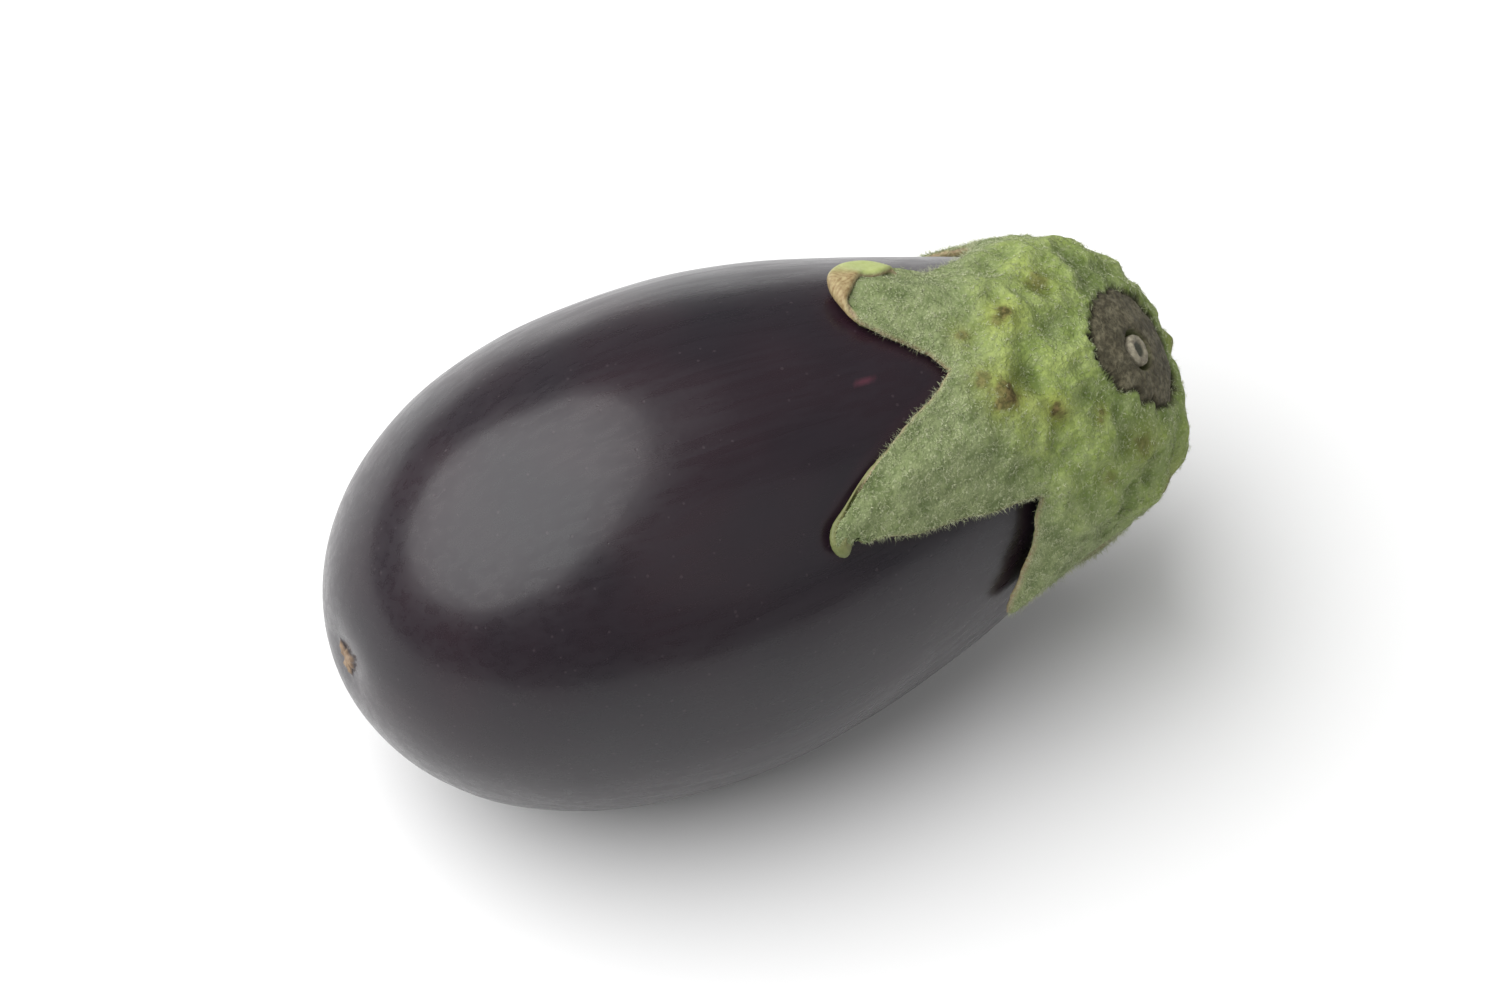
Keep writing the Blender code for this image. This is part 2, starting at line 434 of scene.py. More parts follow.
edge_points = skin(directions_of(outline))
edge_up = outward(directions_of(outline))
edge_away = unit(np.cross(np.roll(edge_points, -1, 0) - np.roll(edge_points, 1, 0), edge_up))
for _ in range(EDGE_PASSES):
    edge_away = unit(smoothed(edge_away, 1))
to_fold, nearest_station = to_nearest(laid, edge_points)
to_edge = np.where(rolled_in > 0, roll_at[every_ring] - rolled_in, to_fold + roll_at[nearest_station])
print("the widest place is", round(float(to_edge.max() / MM), 1), "mm from an edge")

# %% [markdown]
# ## Midribs and seams
#
# A leafy lobe has a midrib down its middle, and a seam runs to each notch, where two lobes are fused. Each
# midrib is a short line of stops on the plan. The cap's points only need their distance to those lines.

# %% Distances to the midribs
MIDRIBS = [
    [(-40, 8), (-44, 25), (-49, 42), (-52.5, 66)],
    [(5, 8), (8, 30), (9, 50), (16, 72)],
    [(66, 10), (68, 30), (72, 45), (76, 55)],
    [(128, 8), (132, 30), (134, 48), (135, 61)],
    [(196, 8), (197, 30), (197, 44), (198, 53)],
    [(253, 8), (248, 30), (242, 48), (240.5, 58)],
]
LINE_STEPS = 24  # points for each stop of a line


def line_points(line):
    """Close points on the berry along a line of (turn, reach) stops."""
    stops = plan(line)
    steps = np.linspace(0, len(stops) - 1, LINE_STEPS * len(stops))
    places = np.stack([np.interp(steps, np.arange(len(stops)), stops[:, axis]) for axis in range(2)], -1)
    return skin(directions_of(places))


to_rib = np.stack([to_nearest(laid, line_points(rib))[0] for rib in MIDRIBS])
to_midrib = to_rib[lobe_of, np.arange(len(flat))]
seams = [line_points([(lobe[0][0], 9), (lobe[0][0], lobe[0][1] - 1)]) for lobe in LOBE_OUTLINES]
to_seam = to_nearest(laid, np.vstack(seams))[0]
print("midribs:", len(MIDRIBS), "and seams:", len(seams))

# %% [markdown]
# ## The corky patch
#
# Round the stalk the green tissue has split and healed as grey-brown cork, with a dark crack and a low lip
# round it. Its border is a closed line on the plan, made wavy with noise. How far a point is past that
# border gives the cork, the crack and the lip their masks.

# %% The corky patch
CORK_BORDER = [
    (-180, 13.0), (-120, 12.0), (-80, 11.5), (-42, 12.2), (-24, 12.4), (-12, 11.4), (2, 12.9), (13, 11.0),
    (24, 10.3), (38, 10.6), (54, 8.4), (89, 9.6), (120, 11.5), (159, 13.5), (180, 13.0),
]
DEGREE = 0.30 * MM  # about one degree of the plan on the berry, near the stalk
flat_at = np.c_[flat, np.zeros(len(flat))]

border = np.interp(turn_of, *np.array(CORK_BORDER).T)
wave = 1.2 * lumps(flat_at, 2.2, 3) + 0.6 * lumps(flat_at, 0.9, 4)
past_cork = (reach_of - border - wave) * DEGREE
cork = 1 - smooth_step(-0.06 * MM, 0.10 * MM, past_cork)
crack = bell(past_cork + 0.03 * MM, 0.16 * MM) * (0.9 + 0.3 * lumps(laid, 1.3 * MM, 19))
lip = bell(past_cork - 0.35 * MM, 0.25 * MM)
print("the cork covers", round(float(cork[is_upper].mean() * 100)), "percent of the upper points")

# %% [markdown]
# ## Lumps and scabs
#
# Farther out are raised lumps, some with brown scabs where the fruit rubbed against a twig. They aren't
# spread evenly, so they are listed one by one. Noise frays their edges, and a yellowish halo surrounds the
# scabs, as where a plant heals.

# %% Lumps and scabs
# (turn, reach, width in mm, height in mm, brownness)
LUMPS = [
    (-34, 29.0, 1.1, 0.65, 0.0),
    (-34, 31.2, 0.60, 0.25, 0.90),
    (-31, 32.4, 0.45, 0.10, 0.55),
    (-25, 33.0, 0.7, 0.25, 0.0),
    (-2.5, 34.6, 0.85, 0.65, 0.80),
    (0.5, 33.4, 0.80, 0.30, 1.00),
    (2.5, 35.4, 0.60, 0.20, 0.85),
    (-9, 36.6, 0.60, 0.20, 0.65),
    (-14, 31.0, 0.9, 0.45, 0.0),
    (7, 29.5, 1.0, 0.50, 0.15),
    (15.3, 24.7, 0.7, 0.45, 0.0),
    (14.0, 26.4, 0.52, 0.15, 1.00),
    (17.5, 25.6, 0.35, 0.10, 0.85),
    (22, 32, 1.1, 0.35, 0.0),
    (-2, 22, 1.0, 0.35, 0.0),
    (48, 22, 1.2, 0.35, 0.0),
    (-27.8, 38.3, 0.5, 0.15, 0.60),
    (33, 17.2, 0.30, 0.10, 0.70),
    (36, 18.6, 0.26, 0.10, 0.60),
    (78.5, 17.0, 0.8, 0.20, 0.50),
    (62.5, 25.6, 0.5, 0.10, 0.35),
    (120, 28, 0.9, 0.40, 0.70),
    (182, 24, 0.7, 0.35, 0.60),
    (236, 31, 1.0, 0.45, 0.80),
    (300, 24, 0.8, 0.30, 0.50),
]
lump_height = np.zeros(len(flat))
scab = np.zeros(len(flat))
halo = np.zeros(len(flat))
frayed = 1 + 0.55 * lumps(laid, 0.55 * MM, 17) + 0.35 * lumps(laid, 0.22 * MM, 18)
for turn, reach, width, height, brownness in LUMPS:
    lump_middle = skin(directions_of(plan([(turn, reach)])))
    away_from = np.linalg.norm(laid - lump_middle, axis=1) / (width * MM)
    lump_height += height * MM * bell(away_from, 1.0)
    scab = np.maximum(scab, brownness * (1 - smooth_step(0.45, 1.0, away_from * frayed)))
    halo = np.maximum(halo, brownness * bell(away_from, 1.9))
print("the highest lumps add", round(float(lump_height.max() / MM), 2), "mm")

# %% [markdown]
# ## Thickness of the cap
#
# The cap is fleshy in the middle and thins out towards the lobes, and its edge is rounded rather than cut.
# A Solidify modifier would give it the same thickness everywhere. So each point gets a height above the
# berry of its own. First comes the flesh, with a midrib down each lobe and a ridge along each seam.

# %% Flesh, midribs and seams
GAP = 0.25 * MM  # between the berry and the cap
EDGE_FLESH = 0.62 * MM
MIDDLE_FLESH = 1.65 * MM
FLESHY_FROM = 3.4 * MM  # from the edge
EDGE_ROUND = 0.42 * MM
RIDGE_HEIGHT = 0.26 * MM
RIB_WIDTH = 0.80 * MM
SEAM_WIDTH = 0.90 * MM

inside = np.clip(to_edge / EDGE_ROUND, 0, 1)
roundness = np.sqrt(1 - (1 - inside) ** 2)
fleshiness = 1 - np.exp(-((to_fold / FLESHY_FROM) ** 1.3))
flesh = EDGE_FLESH + (MIDDLE_FLESH - EDGE_FLESH) * fleshiness
rib = RIDGE_HEIGHT * bell(to_midrib, RIB_WIDTH) * smooth_step(12, 24, reach_of)
seam = RIDGE_HEIGHT * bell(to_seam, SEAM_WIDTH) * smooth_step(12, 22, reach_of)
print("flesh from", round(float(flesh.min() / MM), 2), "to", round(float(flesh.max() / MM), 2), "mm")

# %% [markdown]
# ## Relief of the cap
#
# The middle of a real cap is knobbly, with folds like a walnut, and calms down along the lobes. Three sizes
# of noise give the knobs, and the folds are noise turned into sharp crests. The corky patch is sunk a
# little and fibrous, with its crack cut deep. The broad part is also kept as a mask, which later paints
# shade into the hollows and light onto the crests of the cap's green.

# %% Relief of the cap
CORK_SUNK = 0.08 * MM
CRACK_DEPTH = 0.26 * MM
LIP_HEIGHT = 0.08 * MM
CREST_SHARPNESS = 3.2
HUMP_RANGE = 0.70 * MM
CALM_EDGE = 1.2 * MM

knobbly = smooth_step(46, 34, reach_of) * smooth_step(11, 16, reach_of)
broad = 0.26 * MM * lumps(laid, 2.6 * MM, 5) * (1 + 0.9 * knobbly)
broad += 0.11 * MM * lumps(laid, 1.1 * MM, 6) * (1 + 1.2 * knobbly)
crests = 1 - np.abs(lumps(laid, 2.1 * MM, 15)) * CREST_SHARPNESS
broad += 0.20 * MM * knobbly * np.clip(crests, -0.6, 1)
fine = 0.035 * MM * lumps(laid, 0.42 * MM, 7)
cork_fibres = 0.09 * MM * lumps(laid, 0.9 * MM, 16) + 0.05 * MM * lumps(laid, 0.3 * MM, 8)
# hump is only a mask for colour: painted shade in the hollows and painted light on the crests
hump = np.clip(0.5 + (broad + 0.5 * lump_height + 0.5 * seam) / HUMP_RANGE, 0, 1)
green_relief = (rib + seam + broad) * np.clip(to_fold / CALM_EDGE, 0, 1) + fine + lump_height
relief = green_relief * (1 - cork) + (cork_fibres - CORK_SUNK) * cork
relief += LIP_HEIGHT * lip * (1 - cork) - CRACK_DEPTH * crack
print("the relief runs over", round(float(np.ptp(relief[is_upper]) / MM), 2), "mm")

# %% [markdown]
# ## Laying the cap on the berry
#
# The points of the plan go to the skin, and then up along its normal by their height. Some lobes lift a
# little off the berry towards the tip, and their edges are gently wavy, as dry leaf edges are.

# %% Lay the cap on the berry
LOBE_LIFTS = np.array([0.0, 0.30, 0.35, 0.5, 0.5, 0.0]) * MM
CALM_LOBE = 5  # its edge isn't wavy
WAVE_HEIGHT = 0.25 * MM

middle_height = GAP + EDGE_FLESH / 2
upper_height = middle_height + (flesh - EDGE_FLESH / 2 + relief) * roundness
under_height = middle_height - (EDGE_FLESH / 2) * roundness
lift = LOBE_LIFTS[lobe_of] * smooth_step(0.55, 1.1, share_of)
wavy = WAVE_HEIGHT * lumps(laid, 5 * MM, 9) * (lobe_of != CALM_LOBE)
wavy *= smooth_step(2.5 * MM, 0, to_fold) * smooth_step(30, 45, reach_of)
height = np.where(is_upper, upper_height, under_height) + lift + np.maximum(wavy, -GAP * 0.6)
cap_points = laid + outward(directions_of(flat)) * height[:, None]
print("the cap reaches", round(float(cap_points[:, 2].max() / MM), 1), "mm high")

# %% [markdown]
# ## Rolled margins, a hook and a curl
#
# Now the bend round a roller does its work. The margins of two lobes are rolled in by nearly half a turn,
# each point about the fold line at its own station. Then the long lobe's tip is bent sideways, along the
# berry, into a hook. A lobe at the far side gets a gentler curl, because no leaf lies quite flat.

# %% Rolled margins, a hook and a curl
ROLL_RADII = np.array([0.66, 0.42, 0.5, 0.5, 0.5, 0.5]) * MM
ROLL_MOST = math.radians(172)
HOOK_LOBE = 1
HOOK_START = (14, 64)  # turn and reach
HOOK_END = (16.4, 67.4)
HOOK_RADIUS = 1.15 * MM
HOOK_MOST = math.radians(110)
HOOK_BEYOND = 60  # only points of the lobe farther out than this are bent
CURL_LOBE = 3
CURL_RADIUS = 2.2 * MM
CURL_MOST = math.radians(28)
CURL_FOLD = ((142, 56), (126, 54))  # a line through two places, as turn and reach
CURL_BEYOND = 44

margin_away, margin_up = edge_away[every_ring], edge_up[every_ring]
spread = cap_points + margin_away * rolled_in[:, None]
folds = edge_points[every_ring] + margin_up * GAP
rolled = wound(spread, folds, margin_away, margin_up, ROLL_RADII[lobe_of], ROLL_MOST)
cap_points = np.where((rolled_in > 0)[:, None], rolled, cap_points)

hook_ends = skin(directions_of(plan([HOOK_START, HOOK_END])))
hook_way = unit((hook_ends[1] - hook_ends[0])[None])[0]
hook_side = np.cross(outward(directions_of(plan([HOOK_END])))[0], hook_way)
hooked = wound(cap_points, hook_ends[1], hook_way, hook_side, HOOK_RADIUS, HOOK_MOST)
cap_points = np.where((lobe_of == HOOK_LOBE)[:, None] & (reach_of > HOOK_BEYOND)[:, None], hooked, cap_points)

fold, curl_away, curl_up = fold_frame(*CURL_FOLD)
curled = wound(cap_points, fold + curl_up * GAP, curl_away, curl_up, CURL_RADIUS, CURL_MOST)
cap_points = np.where((lobe_of == CURL_LOBE)[:, None] & (reach_of > CURL_BEYOND)[:, None], curled, cap_points)
print("the cap reaches from", np.round(cap_points.min(0) / MM, 1), "to", np.round(cap_points.max(0) / MM, 1))

# %% [markdown]
# ## Nodes in a few words
#
# A material is a tree of nodes. Adding each by hand takes many lines, so a small helper adds a node and
# fills its inputs with values or with other nodes' outputs. The first helper starts a node group, which is a
# part of a tree that several materials share, and the third one places such a group in a material.

# %% Helpers for node trees
def socketed_group(name, inputs, outputs):
    """An empty shader node group with named inputs (kind, value) and outputs."""
    group = bpy.data.node_groups.new(name, "ShaderNodeTree")
    for label, (kind, value) in inputs.items():
        socket = group.interface.new_socket(label, in_out="INPUT", socket_type="NodeSocket" + kind)
        if value is not None:
            socket.default_value = value
    for label, kind in outputs.items():
        group.interface.new_socket(label, in_out="OUTPUT", socket_type="NodeSocket" + kind)
    return group, group.nodes.new("NodeGroupInput"), group.nodes.new("NodeGroupOutput")


def node(tree, kind, settings=None, **values):
    """A node with its settings and its inputs, where an input is a value or another node's output."""
    made = tree.nodes.new("ShaderNode" + kind)
    for setting, value in (settings or {}).items():
        setattr(made, setting, value)
    for label, value in values.items():
        name = label.replace("_", " ")
        socket = next(item for item in made.inputs if item.name == name and item.enabled)
        if isinstance(value, bpy.types.NodeSocket):
            tree.links.new(value, socket)
        else:
            socket.default_value = value
    return made


def grouped(tree, group, **values):
    """A node group placed in a material with its own values."""
    made = tree.nodes.new("ShaderNodeGroup")
    made.node_tree = group
    for label, value in values.items():
        socket = made.inputs[label.replace("_", " ")]
        if isinstance(value, bpy.types.NodeSocket):
            tree.links.new(value, socket)
        else:
            socket.default_value = value
    return made


def new_look(name):
    """A material with an empty Principled shader, its tree and the shader."""
    look = bpy.data.materials.new(name)
    look.use_nodes = True
    return look, look.node_tree, look.node_tree.nodes["Principled BSDF"]


print("node tools are ready, and the file holds", len(bpy.data.node_groups), "node groups so far")

# %% [markdown]
# ## Colours, values and masks
#
# Most of a finish is mixing: one colour over another by a mask, and a mask stretched or multiplied. These
# helpers keep each such step on one line, so that a material reads from its ground colour upwards.

# %% Helpers for colours and masks
def blended(tree, share, below, above):
    """A colour mixed from below to above by share."""
    made = tree.nodes.new("ShaderNodeMix")
    made.data_type = "RGBA"
    for index, value in ((0, share), (6, below), (7, above)):
        if isinstance(value, bpy.types.NodeSocket):
            tree.links.new(value, made.inputs[index])
        else:
            made.inputs[index].default_value = value if index == 0 else (*value, 1)
    return made.outputs[2]


def ranged(tree, value, low, high, to_low=0.0, to_high=1.0):
    """A value stretched from one range to another and clamped."""
    made = node(tree, "MapRange", {"interpolation_type": "SMOOTHSTEP"}, Value=value)
    for label, number in (("From Min", low), ("From Max", high), ("To Min", to_low), ("To Max", to_high)):
        made.inputs[label].default_value = number
    return made.outputs[0]


def maths(tree, operation, first, second):
    """One sum on two values."""
    made = tree.nodes.new("ShaderNodeMath")
    made.operation = operation
    for index, value in enumerate((first, second)):
        if isinstance(value, bpy.types.NodeSocket):
            tree.links.new(value, made.inputs[index])
        else:
            made.inputs[index].default_value = value
    return made.outputs[0]


def masked(tree, name):
    """The value that the mesh keeps under this name."""
    return node(tree, "Attribute", {"attribute_name": name}).outputs["Fac"]


def times(tree, first, second):
    """Two values multiplied."""
    return maths(tree, "MULTIPLY", first, second)


print("colour and mask tools are ready, beside", len(bpy.data.materials), "materials of the solid model")

# %% [markdown]
# ## Soft mottle
#
# Nothing that grows is evenly coloured. This group turns cloudy noise into a soft mask, and each material
# sets the size and contrast of the clouds. The skin, the cap, the wool and even the floor use it.

# %% Soft mottle
mottle, take, give = socketed_group(
    "soft_mottle",
    {
        "Place": ("Vector", None),
        "Size": ("Float", 300.0),
        "Detail": ("Float", 3.0),
        "Contrast": ("Float", 0.2),
    },
    {"Mask": "Float"},
)
cloud = node(mottle, "TexNoise", Vector=take.outputs["Place"], Scale=take.outputs["Size"],
             Detail=take.outputs["Detail"], Roughness=0.55)
low_end = maths(mottle, "SUBTRACT", 0.5, take.outputs["Contrast"])
high_end = maths(mottle, "ADD", 0.5, take.outputs["Contrast"])
stretch = node(mottle, "MapRange", {"interpolation_type": "SMOOTHSTEP"}, Value=cloud.outputs[0])
mottle.links.new(low_end, stretch.inputs["From Min"])
mottle.links.new(high_end, stretch.inputs["From Max"])
mottle.links.new(stretch.outputs[0], give.inputs["Mask"])
print("soft mottle has", len(mottle.nodes), "nodes")

# %% [markdown]
# ## Fine specks
#
# Pores in the skin, the ends of hairs in the felt and vessels in the cut stalk are all small dots of uneven
# size. A Voronoi texture scatters cells. Each cell has a random colour, which chooses whether it has a dot
# and how wide the dot is.

# %% Fine specks
specks, take, give = socketed_group(
    "fine_specks",
    {"Place": ("Vector", None), "Size": ("Float", 2000.0), "Width": ("Float", 0.25), "Share": ("Float", 0.4)},
    {"Mask": "Float"},
)
cells = node(specks, "TexVoronoi", Vector=take.outputs["Place"], Scale=take.outputs["Size"], Randomness=1.0)
chosen = node(specks, "SeparateColor", Color=cells.outputs["Color"]).outputs[0]
wide = maths(specks, "MULTIPLY", take.outputs["Width"], maths(specks, "ADD", chosen, 0.4))
near = maths(specks, "DIVIDE", cells.outputs["Distance"], wide)
dots = ranged(specks, near, 0.5, 1.0, 1.0, 0.0)
present = maths(specks, "LESS_THAN", chosen, take.outputs["Share"])
specks.links.new(maths(specks, "MULTIPLY", dots, present), give.inputs["Mask"])
print("fine specks has", len(specks.nodes), "nodes")

# %% [markdown]
# ## Running fibres
#
# Streaks in the skin, veins in the cap and grain in the stalk are noise that is pulled out along one way.
# The group multiplies the place by a stretch, so a small number makes long streaks along that axis.

# %% Running fibres
fibres, take, give = socketed_group(
    "running_fibres",
    {"Place": ("Vector", None), "Stretch": ("Vector", (1.0, 1.0, 1.0)), "Detail": ("Float", 3.0)},
    {"Mask": "Float"},
)
pulled = node(fibres, "VectorMath", {"operation": "MULTIPLY"})
fibres.links.new(take.outputs["Place"], pulled.inputs[0])
fibres.links.new(take.outputs["Stretch"], pulled.inputs[1])
strands = node(fibres, "TexNoise", Vector=pulled.outputs[0], Scale=1.0, Detail=take.outputs["Detail"],
               Roughness=0.6, Distortion=0.3)
fibres.links.new(ranged(fibres, strands.outputs[0], 0.3, 0.7), give.inputs["Mask"])
print("shared finishes:", sorted(group.name for group in bpy.data.node_groups))

# %% [markdown]
# ## The skin's colour
#
# The skin is thin, waxy and nearly black, with clouds of wine red in the skin itself and faint streaks from
# end to end. The wine red is painted stronger on the side that faces the overhead softbox, which is painted
# light.
# Sheltered under the cap it stays pale. A plain dark colour would look like plastic, so violet streaks, grey
# pores, a pink fleck and the tan scar are laid over the dark ground, one by one.

# %% The skin's colour
NEAR_BLACK = (0.0088, 0.0068, 0.0108)
WINE_RED = (0.0185, 0.0088, 0.0136)
STREAK_VIOLET = (0.0145, 0.0090, 0.0145)
PORE_GREY = (0.10, 0.075, 0.085)
SHELTERED_CREAM = (0.30, 0.30, 0.16)
FLECK_PINK = (0.16, 0.035, 0.060)
SCAR_BROWN = (0.16, 0.10, 0.06)
SCAR_TAN = (0.30, 0.21, 0.13)

skin_look, tree, shader = new_look("aubergine_skin")
place = node(tree, "TexCoord").outputs["Object"]
lie = node(tree, "Attribute", {"attribute_name": "lie"}).outputs["Vector"]
red_clouds = grouped(tree, mottle, Place=place, Size=70.0, Detail=2.0, Contrast=0.16).outputs[0]
streaks = grouped(tree, fibres, Place=lie, Stretch=(2.2, 26.0, 26.0), Detail=4.0).outputs[0]
pores = grouped(tree, specks, Place=place, Size=1500.0, Width=0.32, Share=0.3).outputs[0]
# painted light: the wine red clouds are painted stronger where the skin faces the overhead softbox
red_and_light_share = times(tree, red_clouds, ranged(tree, masked(tree, "painted_light_side"), 0.0, 1.0, 0.35, 1.0))
colour = blended(tree, red_and_light_share, NEAR_BLACK, WINE_RED)
colour = blended(tree, times(tree, streaks, 0.45), colour, STREAK_VIOLET)
colour = blended(tree, times(tree, pores, 0.20), colour, PORE_GREY)
colour = blended(tree, masked(tree, "sheltered"), colour, SHELTERED_CREAM)
colour = blended(tree, times(tree, masked(tree, "blush"), 0.8), colour, FLECK_PINK)
colour = blended(tree, masked(tree, "scar"), colour, blended(tree, streaks, SCAR_BROWN, SCAR_TAN))
tree.links.new(colour, shader.inputs["Base Color"])
print("the skin's colour takes", len(tree.nodes), "nodes")

# %% [markdown]
# ## The skin's gloss
#
# The wax on the skin gives a broad soft highlight with a faint sharper one on top, which is what a coat on
# the Principled shader does. The streaks vary the roughness, the scar is dull, and ripples and pores of a
# few hundredths of a millimetre break the reflections.

# %% The skin's gloss
gloss = ranged(tree, streaks, 0.0, 1.0, 0.26, 0.34)
gloss = maths(tree, "ADD", gloss, times(tree, masked(tree, "scar"), 0.5))
tree.links.new(gloss, shader.inputs["Roughness"])
shader.inputs["Specular IOR Level"].default_value = 0.42
shader.inputs["Coat Weight"].default_value = 0.12
shader.inputs["Coat Roughness"].default_value = 0.12
ripple = grouped(tree, mottle, Place=place, Size=420.0, Detail=3.0, Contrast=0.35).outputs[0]
bumps = maths(tree, "SUBTRACT", times(tree, ripple, 0.5), times(tree, pores, 0.25))
bump = node(tree, "Bump", Strength=0.35, Distance=0.06 * MM, Height=bumps)
tree.links.new(bump.outputs[0], shader.inputs["Normal"])
print("with its gloss the skin has", len(tree.nodes), "nodes")

# %% [markdown]
# ## The berry
#
# The berry gets its rings from the formula, then small departures from it: broad shallow dents, a dimple at
# the blossom end with a button of dry scar, and the flat that it rests on. They are moved in the mesh, so the
# reflections run over a real surface.

# %% The berry's points
BERRY_RINGS = 216
BERRY_COLUMNS = 256
RING_CROWDING = 1.2  # above 1, the rings crowd towards the blossom end
SCAR_WIDTH = 0.95 * MM
DIMPLE_DEPTH = 0.55 * MM
DIMPLE_WIDTH = 2.6 * MM
BUTTON_HEIGHT = 0.20 * MM
REST_SOFTNESS = 0.10 * MM  # how softly the belly flattens onto the table

polar_angles = math.pi * np.linspace(0, 1, BERRY_RINGS) ** RING_CROWDING
rows = np.vstack([ball(polar_angles[1:-1], BERRY_COLUMNS), [[-1, 0, 0], [1, 0, 0]]])
base = skin(rows)
normals = outward(rows)
from_blossom = np.linalg.norm(base - base[-2], axis=1)
around = np.arctan2(rows[:, 2], rows[:, 1])
ragged_scar = SCAR_WIDTH * (1 + 0.25 * np.sin(3 * around + 0.6) + 0.18 * np.sin(7 * around))
scar = 1 - smooth_step(0.75, 1.1, from_blossom / ragged_scar)
dent = 0.22 * MM * lumps(base, 15 * MM, 11) + 0.06 * MM * lumps(base, 5 * MM, 12)
dimple = -DIMPLE_DEPTH * bell(from_blossom, DIMPLE_WIDTH)
button = BUTTON_HEIGHT * scar * (1 + 0.5 * lumps(base, 0.35 * MM, 13))
berry_points = base + normals * (dent + dimple + button)[:, None]
low_part = berry_points[:, 2]
berry_points[:, 2] = (low_part + np.sqrt(low_part**2 + REST_SOFTNESS**2)) / 2
print("the berry is", np.round(np.ptp(berry_points, axis=0) / MM, 1), "mm")

# %% [markdown]
# ## Where the cap shelters the skin
#
# Skin that never sees the sun stays pale. Under the cap, away from its edges, the berry is cream. To find
# out where that is, each point of the berry near the stalk looks for the nearest point of the cap's inside,
# and asks how deep under the cap that lies. A small pink fleck lies where the sun came through a gap. The
# last mask is painted light: it marks the skin that faces the overhead softbox.

# %% Masks of the berry
FLECK_AT = (-19, 55.3)  # turn and reach
FLECK_SLIMNESS = [1, 2.6]
# the way to the overhead softbox, for the painted light on the skin
SOFTBOX_WAY = np.array([[-0.5, 0.25, 0.85]])

berry_reach = np.degrees(np.arccos(np.clip(rows @ CAP_AXIS, -1, 1)))
berry_turn = np.degrees(np.arctan2(rows @ CAP_BESIDE, rows @ CAP_DOWN))
inside_points = np.nonzero(~is_upper & (rolled_in == 0))[0]
close = np.nonzero(berry_reach < 85)[0]
below, beneath = to_nearest(base[close], cap_points[inside_points])
depth = to_fold[inside_points][beneath]
covered = 1 - smooth_step(0.7 * MM, 1.1 * MM, below)
sheltered = np.zeros(len(rows))
sheltered[close] = smooth_step(2.4 * MM, 4.2 * MM, depth) * covered
blush = np.zeros(len(rows))
blush[close] = 0.05 * bell(depth, 0.35 * MM) * covered
from_fleck = plan([FLECK_AT]) - plan(np.c_[berry_turn, berry_reach])
fleck = np.linalg.norm(from_fleck * FLECK_SLIMNESS, axis=1) * DEGREE
blush = np.maximum(blush, 0.5 * (1 - smooth_step(0.3 * MM, 0.75 * MM, fleck)))
# painted light: 1 where the skin faces the overhead softbox, where the wine red is painted stronger
painted_light_side = smooth_step(-0.2, 0.9, normals @ unit(SOFTBOX_WAY)[0])
print("sheltered points:", int((sheltered > 0.5).sum()), "of", len(rows))

# %% [markdown]
# ## Making the berry
#
# The rings are joined with quads, and each pole is closed with a fan of triangles. The mesh also carries
# each point's direction on the ball under the name lie, which the streaks follow from end to end. The piece
# rides on the fruit's only body and stands for the solid berry.

# %% Make the berry
blossom_pole, stalk_pole = len(rows) - 2, len(rows) - 1
last_ring = (BERRY_RINGS - 3) * BERRY_COLUMNS
faces = flipped(ring_faces(BERRY_RINGS - 2, BERRY_COLUMNS) + fan(blossom_pole, 0, BERRY_COLUMNS))
faces += fan(stalk_pole, last_ring, BERRY_COLUMNS)
berry_masks = {"scar": scar, "sheltered": sheltered, "blush": blush, "painted_light_side": painted_light_side}
berry = piece("fruit_skin", berry_points, faces, skin_look, berry_masks)
add_rows(berry, "lie", rows)
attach(berry, "root")
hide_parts("fruit")

# %% [markdown]
# ## The cap's green
#
# The upper side is green under a grey felt of hairs, yellow green in the middle and over the lumps, with
# painted shade that dulls it on the far side and darkens the hollows, and painted light on the crests. One
# noise can't do that. So the ground colour is mottled, and the masks from the layout tint it: felt along the
# lobes, bright in the middle with its painted shade, hump for painted shade in the hollows and painted light
# on the crests.

# %% The cap's green
GREEN_DARK = (0.120, 0.180, 0.038)
GREEN_LIGHT = (0.215, 0.285, 0.078)
YELLOW_GREEN = (0.290, 0.370, 0.085)
FELT_DARK = (0.145, 0.182, 0.078)
FELT_LIGHT = (0.220, 0.262, 0.118)
HOLLOW_SHADE_GREEN = (0.075, 0.115, 0.020)
CREST_LIGHT_GREEN = (0.400, 0.480, 0.135)
GRAIN_GREEN = (0.095, 0.135, 0.040)

cap_look, tree, shader = new_look("calyx_green")
place = node(tree, "TexCoord").outputs["Object"]
patches = grouped(tree, mottle, Place=place, Size=520.0, Detail=4.0, Contrast=0.20).outputs[0]
small = grouped(tree, mottle, Place=place, Size=3000.0, Detail=4.0, Contrast=0.16).outputs[0]
# the bright mask carries painted shade too: it is dimmed on the cap's far side
bright_minus_shade_mask = masked(tree, "bright_minus_shade")
green = blended(tree, patches, GREEN_DARK, GREEN_LIGHT)
green = blended(tree, times(tree, bright_minus_shade_mask, 0.8), green, YELLOW_GREEN)
green = blended(tree, masked(tree, "felt"), green, blended(tree, patches, FELT_DARK, FELT_LIGHT))
# painted shade: the hollows of the relief are painted a darker green, most in the bright middle
hollow_shade = ranged(tree, masked(tree, "hump"), 0.15, 0.60, 0.75, 0.0)
hollow_shade = times(tree, hollow_shade, ranged(tree, bright_minus_shade_mask, 0.0, 0.6, 0.45, 1.0))
green = blended(tree, hollow_shade, green, HOLLOW_SHADE_GREEN)
